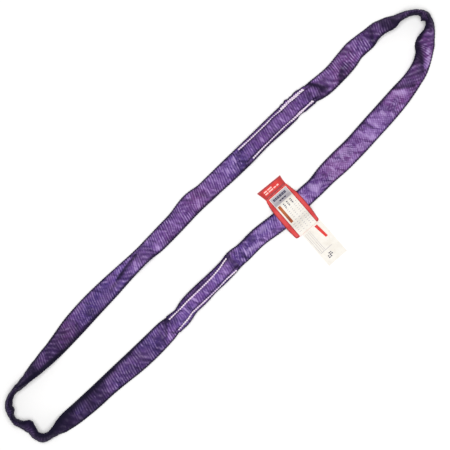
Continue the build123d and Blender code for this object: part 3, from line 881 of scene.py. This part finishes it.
def ring(name, outer, inner, material, nodes, slot_name):
    """A closed loop of fabric inside the covers, its two walls grown by outer and inner."""
    s = np.arange(0, band.length - COARSE_ROW / 2, COARSE_ROW)
    laps = band.any_lap(s)
    walls, weave = [], []
    for turn, amount in ((1, outer), (-1, inner)):
        growth, narrowing = amount - HIDDEN_INSET * laps, SLEEVE_NARROWING * laps
        points, a, v, side, lap = section(s, growth, SLEEVE_COLUMNS, narrowing)
        out = slack(points, s, v, side, lap) + drape_fall(points, s, lap, SLEEVE_FADE)
        clearance = SLEEVE_CLEARANCE + 0.6 * (outer - amount) + HIDDEN_INSET * laps
        points = rested(points + normals_of(points) * out[..., None], s, clearance)
        walls.append(points[:, ::turn])
        weave.append(weave_place(s, a, side * FACE_GAP)[:, ::turn])
    piece = grid_piece(name, walls, {"weave": weave}, material)
    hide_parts(*nodes)
    return piece


STRAND_ROW = 4.0
STRAND_SIDES = 10
STRAND_RADIUS = 1.6
STRAND_LOBES, STRAND_LOBE = 5, 0.14  # how many there are round a strand, and their height
TWIST = 4.5  # millimetres along for each radian of twist
PAIR_PITCH = 3.7  # between pairs of strands where the band is flat and the pairs lie side by side
PAIR_HALF = 1.85  # from the middle of a pair to each strand


def strand(number, pair, side):
    """One strand of twisted yarn, once round the loop. On a lap the pairs stand on each other."""
    s = np.arange(0, band.length - STRAND_ROW / 2, STRAND_ROW)
    points, _, _, _, lap = section(s, np.zeros(len(s)))
    centre = (points[:, 0] + points[:, COLUMNS // 2]) / 2
    centre[:, 2] = (points[..., 2].max(1) + points[..., 2].min(1)) / 2
    across = points[:, 0] - points[:, COLUMNS // 2 - 1]
    across /= np.linalg.norm(across, axis=1, keepdims=True)
    heading = np.gradient(centre, axis=0)
    heading /= np.linalg.norm(heading, axis=1, keepdims=True)
    up = np.cross(heading, across)
    turn = lap * np.pi / 2
    offset = pair * PAIR_PITCH * (1 + np.cos(turn)) + side * PAIR_HALF * np.cos(turn)
    rise = side * PAIR_HALF * np.sin(turn)
    centre = (centre + across * offset[:, None] + up * rise[:, None])[:, None, :]
    angle = 2 * np.pi * np.arange(STRAND_SIDES) / STRAND_SIDES
    radius = STRAND_RADIUS + STRAND_LOBE * np.cos(STRAND_LOBES * angle[None, :] - s[:, None] / TWIST)
    tube = centre + (radius * np.cos(angle))[..., None] * across[:, None, :]
    tube = tube + (radius * np.sin(angle))[..., None] * up[:, None, :]
    weave = weave_place(s, radius * angle, radius * 0)
    piece = grid_piece(f"strand_{number}", [tube[:, ::-1]], {"weave": [weave]}, YARN)
    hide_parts(f"strand_{number}_upper", f"strand_{number}_lower")
    return piece


cover_one = cover(
    "cover_one", band.lap_b[0] - band.length, band.lap_a[0], band.lap_a[1] - HIDDEN_END,
    band.lap_a, ["cover_one_upper", "cover_one_lower"],
)
cover_two = cover(
    "cover_two", band.lap_a[0], band.lap_b[0], band.lap_b[1] - HIDDEN_END,
    band.lap_b, ["cover_two_upper", "cover_two_lower"],
)
sleeve = ring("inner_sleeve", *SLEEVE_WALLS, SLEEVE, ["sleeve_upper", "sleeve_lower"], "sleeve")
places = [(pair, side) for pair in (-1, 0, 1) for side in (-1, 1)]
strands = [strand(number, *place) for number, place in enumerate(places, 1)]

# Each has its placement baked into its mesh.
for piece in [cover_one, cover_two, sleeve, *strands]:
    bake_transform(piece)

# ---- stitching

STITCH_PITCH = 3.8
STITCH_HALF = (2.0, 1.45)  # half a stitch's length and width
STITCH_ROWS, STITCH_SIDES = 7, 8
STITCH_TAPER = 0.75  # how much narrower its ends are
STITCH_SINK = 0.5  # and how much deeper
STITCH_HEIGHT = 0.7  # for each millimetre of width
STITCH_PROUD = 0.25


def height_on_lap(x, y, face):
    """How high one face of a lap is at these places seen from above."""
    s = np.array([band.arc_of(*place) for place in zip(x, y)])
    points, _, _, side, _ = section(s, np.zeros(len(s)))
    inward = to_the_left(band.heading(s))
    z = []
    for i in range(len(s)):
        spread = points[i, side[i] == face]
        where = (spread[:, :2] - [x[i], y[i]]) @ inward[i]
        order = np.argsort(where)
        z.append(np.interp(0, where[order], spread[order, 2]))
    return np.array(z)


def thread_line(line):
    """Rounded stitches end to end along a line, on both faces of the lap."""
    line = np.array(line, float)
    lengths = np.append(0, np.cumsum(np.linalg.norm(np.diff(line, axis=0), axis=1)))
    count = int(lengths[-1] / STITCH_PITCH)
    middles = (np.arange(count) + 0.5) * lengths[-1] / count

    def on_line(at):
        return np.stack([np.interp(at, lengths, line[:, c]) for c in (0, 1)])

    x, y = on_line(middles)
    dx, dy = on_line(middles + 1) - on_line(middles - 1)
    turn = np.arctan2(dy, dx)
    t = np.linspace(-1, 1, STITCH_ROWS)[:, None]
    angle = 2 * np.pi * np.arange(STITCH_SIDES)[None, :] / STITCH_SIDES
    along = t * STITCH_HALF[0] * np.ones_like(angle)
    radius = STITCH_HALF[1] * (1 - np.abs(t) ** 3 * STITCH_TAPER)
    across = radius * np.cos(angle)
    stitches = []
    for face in (1, -1):
        up = radius * STITCH_HEIGHT * np.sin(angle) - face * STITCH_SINK * np.abs(t) ** 4
        z = height_on_lap(x, y, face) + face * STITCH_PROUD
        for i in range(count):
            c, k = np.cos(turn[i]), np.sin(turn[i])
            shape = [x[i] + along * c - across * k, y[i] + along * k + across * c, z[i] + up]
            stitches.append(np.stack(shape, -1))
    return stitches


# ---- tag

TAG_MIDDLE = 96.0
VINYL = 0.8
FLAT_Z = 0.05  # the flat layers lie this far above the floor
INK = 0.12
SUNK = 0.1  # a layer starts this far inside the one below
NECK_Y = 19.8
BACK_SIDES = (-14, 24)  # the back leaf and the tail
LABEL_HALF = 17.6
LABEL_Y = 17.5
CORNER, BEAD_CORNER = 3.0, 2.4
BEAD_CROWN = 0.95

HEAD_Y = (38, 20)  # from its end to the neck
HEAD_HALF = 23
HEAD_SLANT = 1.5  # how much further its left side reaches than its right

# The front leaf's underside from the neck to its end: y and z.
LEAF_PATH = [
    (NECK_Y, 1.1), (12, 1.9), (6, 4.4), (1.5, 9.0), (-2.2, 11.9), (-8, 13.0), (-18, 13.3),
    (-28, 13.0), (-33.4, 11.8), (-37.5, 8.6), (-42.5, 4.3), (-47.5, 1.8), (-54, 0.95), (-61, 0.95),
]
LEAF_POINTS = 600  # along the path, before it is smoothed over SMOOTHING of them
SMOOTHING = 49
LEAF_STEP = 4  # rows are this many points apart

# The sides of the leaf and the head: y, and distance from the tag's middle.
LEAF_LEFT = [
    (-61, -24.6), (-45, -26.0), (-35, -26.4), (-15, -26.3), (0, -25.6), (8, -24.4), (20, -22.0),
]
LEAF_RIGHT = [(-61, 22.6), (-45, 24.2), (-35, 25.0), (-15, 25.2), (0, 24.4), (8, 22.8), (20, 20.8)]
HEAD_LEFT = [(20, -21.8), (24, -22.4), (30, -23.6), (38, -25.6)]
HEAD_RIGHT = [(20, 20.6), (24, 20.6), (30, 20.8), (38, 22.2)]


def leaf_rows(y_start, y_end):
    """The front leaf's underside between these y: points and upward normals in the side view."""
    path = np.array(LEAF_PATH, float)
    lengths = np.append(0, np.cumsum(np.hypot(*np.diff(path, axis=0).T)))
    fine = np.linspace(0, lengths[-1], LEAF_POINTS)
    side = np.stack([np.interp(fine, lengths, path[:, c]) for c in (0, 1)], 1)
    kernel = np.hanning(SMOOTHING) / np.hanning(SMOOTHING).sum()
    half = SMOOTHING // 2
    before, beyond = side[:1] * 2 - side[half:0:-1], side[-1:] * 2 - side[-2 : -half - 2 : -1]
    padded = np.vstack([before, side, beyond])
    side = np.stack([np.convolve(padded[:, c], kernel, "valid") for c in (0, 1)], 1)
    side = side[(side[:, 0] <= y_start) & (side[:, 0] >= y_end)]
    side = np.vstack([side[:-1:LEAF_STEP], side[-1:]])
    ahead = np.gradient(side, axis=0)
    ahead /= np.linalg.norm(ahead, axis=1, keepdims=True)
    return side, np.stack([ahead[:, 1], -ahead[:, 0]], 1)


def flat_rows(y_start, y_end, spacing=1.5):
    """The same for a layer that lies flat."""
    y = np.linspace(y_start, y_end, max(3, int((y_start - y_end) / spacing)))
    return np.stack([y, np.full(len(y), FLAT_Z)], 1), np.tile([0.0, 1.0], (len(y), 1))


def head_rows(y_start, y_end):
    """The same for the head."""
    return flat_rows(y_start, y_end, 1.0)


def mark_rows(y_start, y_end):
    """The same for small flat marks."""
    return flat_rows(y_start, y_end, 0.5)


def strip(rows, left, right, low, high, crown=0.0, columns=10, corner=0.0):
    """A closed strip of vinyl or ink that follows rows, as rows of points round its section.

    left and right are its edges from the tag's middle, numbers or functions of y. Its upper face is
    raised by crown in the middle, and the corners at its end are rounded by corner."""
    side, normal = rows
    y = side[:, 0]
    x0 = left(y) if callable(left) else np.full(len(y), float(left))
    x1 = right(y) if callable(right) else np.full(len(y), float(right))
    if corner:
        short = np.maximum(corner - (y - y[-1]), 0)
        inset = corner - np.sqrt(np.maximum(corner**2 - short**2, 0))
        x0, x1 = x0 + inset, x1 - inset
    u = np.linspace(-1, 1, columns)
    x = (x0 + x1)[:, None] / 2 + (x1 - x0)[:, None] / 2 * u
    top = high + crown * np.sqrt(np.maximum(1 - u**2, 0))
    upper, lower = [
        np.stack([TAG_MIDDLE + x, *(side.T[..., None] + normal.T[..., None] * level)], -1)
        for level in (top[None, :] * np.ones_like(x), low * np.ones_like(x))
    ]
    return np.concatenate([upper, lower[:, ::-1]], 1)


def edge_line(stations, beyond=0.0):
    """One side of the tag as a function of y, through these stations, moved out by this much."""
    sides = np.array(stations, float)
    return lambda y: np.interp(y, sides[:, 0], sides[:, 1] + beyond * np.sign(sides[:, 1]))


def bars(rows_of, level, row_ys, starts, lengths, width):
    """Short bars in rows that stand in for lines of print. A row takes its lengths in turn."""
    return [
        strip(rows_of(y, y - width), start, start + length, level, level + INK, columns=3)
        for number, y in enumerate(row_ys)
        for start, length in zip(starts, lengths[number % len(lengths)])
        if length
    ]


def slanted(shape):
    """The head's points, its right side drawn down a little towards the end."""
    moved = shape.copy()
    share = np.clip((shape[..., 1] - HEAD_Y[1]) / (HEAD_Y[0] - HEAD_Y[1]), 0, 1)
    moved[..., 1] -= HEAD_SLANT * share * (shape[..., 0] - TAG_MIDDLE + HEAD_HALF) / (2 * HEAD_HALF)
    return moved


SHADED_ROWS = 6
SHADED_SIDES = (0.45, 1.0)  # from a shape's middle to its side
SHARP_ANGLE = 50


def solid_piece(name, node, body, paint, shapes, edge_shade=0.0):
    """One piece of closed shapes, each rows of points round a section, with closed ends.

    edge_shade paints shade over the surface towards both sides of a shape and its last rows."""
    material, slot_name = paint
    vertices, faces, shade = [], [], []
    for shape in shapes:
        first = len(vertices)
        rows, columns = shape.shape[:2]
        vertices += shape.reshape(-1, 3).tolist()
        u = np.abs(np.linspace(-1, 1, columns // 2))
        u = np.append(u, u[::-1])[:columns]
        end = ease(np.arange(rows), rows - 1 - SHADED_ROWS, rows - 1)
        shade.append(edge_shade * np.maximum(ease(u, *SHADED_SIDES)[None, :], end[:, None]).ravel())
        for r in range(rows - 1):
            here, ahead = first + r * columns, first + (r + 1) * columns
            for c in range(columns):
                d = (c + 1) % columns
                faces.append([here + c, here + d, ahead + d, ahead + c])
        faces.append([first + c for c in range(columns)][::-1])
        faces.append([first + (rows - 1) * columns + c for c in range(columns)])
    points = np.array(vertices)
    attributes = {"weave": points * MM, "shade": np.concatenate(shade)}
    piece = mesh_piece(name, points, faces, attributes, material)
    mesh = piece.data
    bm = bmesh.new()
    bm.from_mesh(mesh)
    bmesh.ops.recalc_face_normals(bm, faces=bm.faces)
    bm.to_mesh(mesh)
    bm.free()
    mesh.set_sharp_from_angle(angle=np.radians(SHARP_ANGLE))
    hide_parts(node)
    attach(piece, body)
    return piece


HEAD_TOP = 2 * VINYL
head = strip(head_rows(*HEAD_Y), edge_line(HEAD_LEFT), edge_line(HEAD_RIGHT), 0, HEAD_TOP, 0.2, 24)
solid_piece("tag_head_vinyl", "tag_head", "upper_half", RED, [slanted(head)], 0.5)
welds = [
    strip(head_rows(23.4, 20.6), -20.6, 19.2, HEAD_TOP - 0.2, HEAD_TOP + 0.2, 0.3, 12),
    slanted(strip(head_rows(37.8, 35.6), -24.8, 21.6, HEAD_TOP - 0.2, HEAD_TOP + INK, 0.15, 12)),
]
solid_piece("tag_weld_line", "tag_weld", "upper_half", DARK_RED, welds)
lines = [(6, 8.5, 0, 0), (6, 8.5, 4.5, 4)]
lines = bars(head_rows, HEAD_TOP + 0.22, (32.4, 28.6), (-16.5, -9, 1, 7), lines, 2.1)
solid_piece("tag_head_print", "tag_head_bars", "upper_half", PINK, lines)

back = strip(flat_rows(NECK_Y, -61.8), *BACK_SIDES, 0, VINYL - 0.1, 0.05, 14)
back_leaf = solid_piece("tag_back_leaf_vinyl", "tag_back_leaf", "upper_half", WHITE, [back])
tacks = [
    strip(flat_rows(y, y - 1.1, 0.4), x, x + 3.4, VINYL - 0.15, 1.15, 0.1, 5)
    for x in range(-10, 20, 6) for y in (-11, -23)
]
solid_piece("tag_back_tacks", "tag_tacks", "upper_half", (THREAD, "thread"), tacks)

sides = edge_line(LEAF_LEFT), edge_line(LEAF_RIGHT)
front = strip(leaf_rows(NECK_Y, -59.6), *sides, 0, VINYL, 0, 24, CORNER)
leaf = solid_piece("tag_leaf_vinyl", "tag_leaf", "front_leaf", RED, [front])
edges = {
    "left": (edge_line(LEAF_LEFT, 0.3), -LABEL_HALF),
    "right": (LABEL_HALF, edge_line(LEAF_RIGHT, 0.3)),
}
for side_name, sides in edges.items():
    # The beads take the lighter red as a painted highlight and painted shade at their sides.
    bead = strip(
        leaf_rows(LABEL_Y, -59.0), *sides, VINYL - SUNK, VINYL + 0.15, BEAD_CROWN, 12, BEAD_CORNER
    )
    name = f"tag_edge_{side_name}"
    solid_piece(name + "_bead", name, "front_leaf", LIT_BEAD_RED, [bead], 0.75)
LABEL_TOP = VINYL + 0.25
SMALL_PRINT = LABEL_TOP + 0.08  # how high it starts
sides = -LABEL_HALF - 0.2, LABEL_HALF + 0.2
label = strip(leaf_rows(LABEL_Y, -59.5), *sides, VINYL - SUNK, LABEL_TOP, 0.1, 16)
solid_piece("tag_label_vinyl", "tag_label", "front_leaf", WHITE, [label])
header = strip(leaf_rows(16.6, 0.5), -16.8, 16.8, LABEL_TOP, LABEL_TOP + INK, 0.05, 12)
solid_piece("tag_header_print", "tag_header", "front_leaf", GREY, [header])
starts, full = (-13.5, -9.4, -5.6, -1, 4, 8.4), (3.6, 3.3, 4.0, 4.4, 3.8, 4.0)
lengths = [full, full, (0, 0, 3.6, 4.0, 3.4, 0)]
lines = bars(leaf_rows, LABEL_TOP + 0.16, (13.6, 11.2, 5.6), starts, lengths, 2.1)
lines += bars(
    leaf_rows, SMALL_PRINT, (-2.4, -5.2, -8.0), (-5.4, 1.2, 8.0),
    [(2.2, 2.4, 2.6), (2.6, 2.0, 2.8)], 1.7,
)
solid_piece("tag_header_bars", "tag_header_bar", "front_leaf", DARK, lines)
stripe = strip(leaf_rows(-1.2, -33.5), -15.2, -10.2, LABEL_TOP, LABEL_TOP + 0.14, 0.05, 6)
solid_piece("tag_stripe_print", "tag_stripe", "front_leaf", ORANGE, [stripe])
small_rows = [-10.2, -13.6, -17.2, -20.8, -24.4, -28.0, -32.8, -37, -41, -45.2, -49, -53]
lines = bars(
    leaf_rows, SMALL_PRINT, small_rows, (-6.4, 0.6, 8.2, 13.4),
    [(2.6, 2.8, 2.4, 1.6), (2.2, 2.4, 2.6, 1.2), (2.8, 2.0, 2.2, 1.8)], 1.1,
)
lines += bars(leaf_rows, SMALL_PRINT, small_rows[7:], (-14,), [(4.4,), (3.2,)], 0.9)
solid_piece("tag_label_print", "tag_print", "front_leaf", GREY, lines)

free = strip(flat_rows(-62.2, -126.4), *BACK_SIDES, 0, VINYL - 0.05, 0.05, 14)
tail = solid_piece("tag_tail_vinyl", "tag_tail", "free_tail", WHITE, [free])
sides = edge_line([(-88, 12.8), (-62, 9.6)]), edge_line([(-88, 17.2), (-62, 15.0)])
red_strip = strip(flat_rows(-62.6, -87.5), *sides, VINYL - 0.1, VINYL + INK, 0.1, 6)
solid_piece("tag_tail_red_strip", "tag_tail_strip", "free_tail", RED, [red_strip])
lines = [
    strip(mark_rows(y, y - 1.5), x, x + 0.9, VINYL, VINYL + 0.1, 0, 3)
    for x in (-11.5, -8.2, -4.6, -1.8) for y in np.arange(-64, -102, -2.4)
]
lines.append(strip(flat_rows(-102.4, -103.2, 0.4), -11, 12, VINYL, VINYL + 0.1, 0, 8))
solid_piece("tag_tail_rows", "tag_tail_lines", "free_tail", GREY, lines)
marks = [(0, 2.6, 1.4), (2.2, 3.0, 2.2), (2.6, 2.2, 0)]
marks = bars(mark_rows, VINYL, (-109.5, -112.5, -115.5), (-5, -1.2, 2.6), marks, 1.8)
solid_piece("tag_tail_dark_marks", "tag_tail_marks", "free_tail", DARK, marks)

for node, threads in STITCH_LINES.items():
    shapes = [shape for line in threads for shape in thread_line(line)]
    body = "upper_half" if "_a_" in node else "lower_half"
    solid_piece(node + "_thread", node, body, (THREAD, "thread"), shapes)

# ---- floor, light and camera

CENTRE = (-0.0016, 0.0340)  # of the picture, in metres
LAMP_HEIGHT, CAMERA_HEIGHT = 8.0, 6.0
CAMERA_TURN = -41.0  # degrees, looking straight down

bpy.ops.mesh.primitive_plane_add(size=30)
floor = bpy.context.object
floor.name = "studio_floor"
paint = Material("studio_floor", Roughness=0.9)
tone = paint.noise(paint.add("TexCoord").outputs["Object"], 2.0, 2)
floor.data.materials.append(paint.finish(paint.mix(tone, srgb(249, 249, 249), srgb(251, 250, 249))))

world = bpy.data.worlds.new("studio")
bpy.context.scene.world = world
world.use_nodes = True
background = world.node_tree.nodes["Background"]
background.inputs["Color"].default_value = (1, 1, 1, 1)
background.inputs["Strength"].default_value = 0.3

light = bpy.data.lights.new("overhead", "AREA")
light.size = 4.0
light.energy = 560
placed("overhead", light).location = (*CENTRE, LAMP_HEIGHT)

camera_data = bpy.data.cameras.new("photo_camera")
camera_data.lens = 297
camera_data.sensor_width = 36
camera_data.clip_end = 100
camera = placed("photo_camera", camera_data)
camera.location = (*CENTRE, CAMERA_HEIGHT)
camera.rotation_euler = (0, 0, np.radians(CAMERA_TURN))
bpy.context.scene.camera = camera
bpy.context.scene.view_settings.view_transform = "Standard"
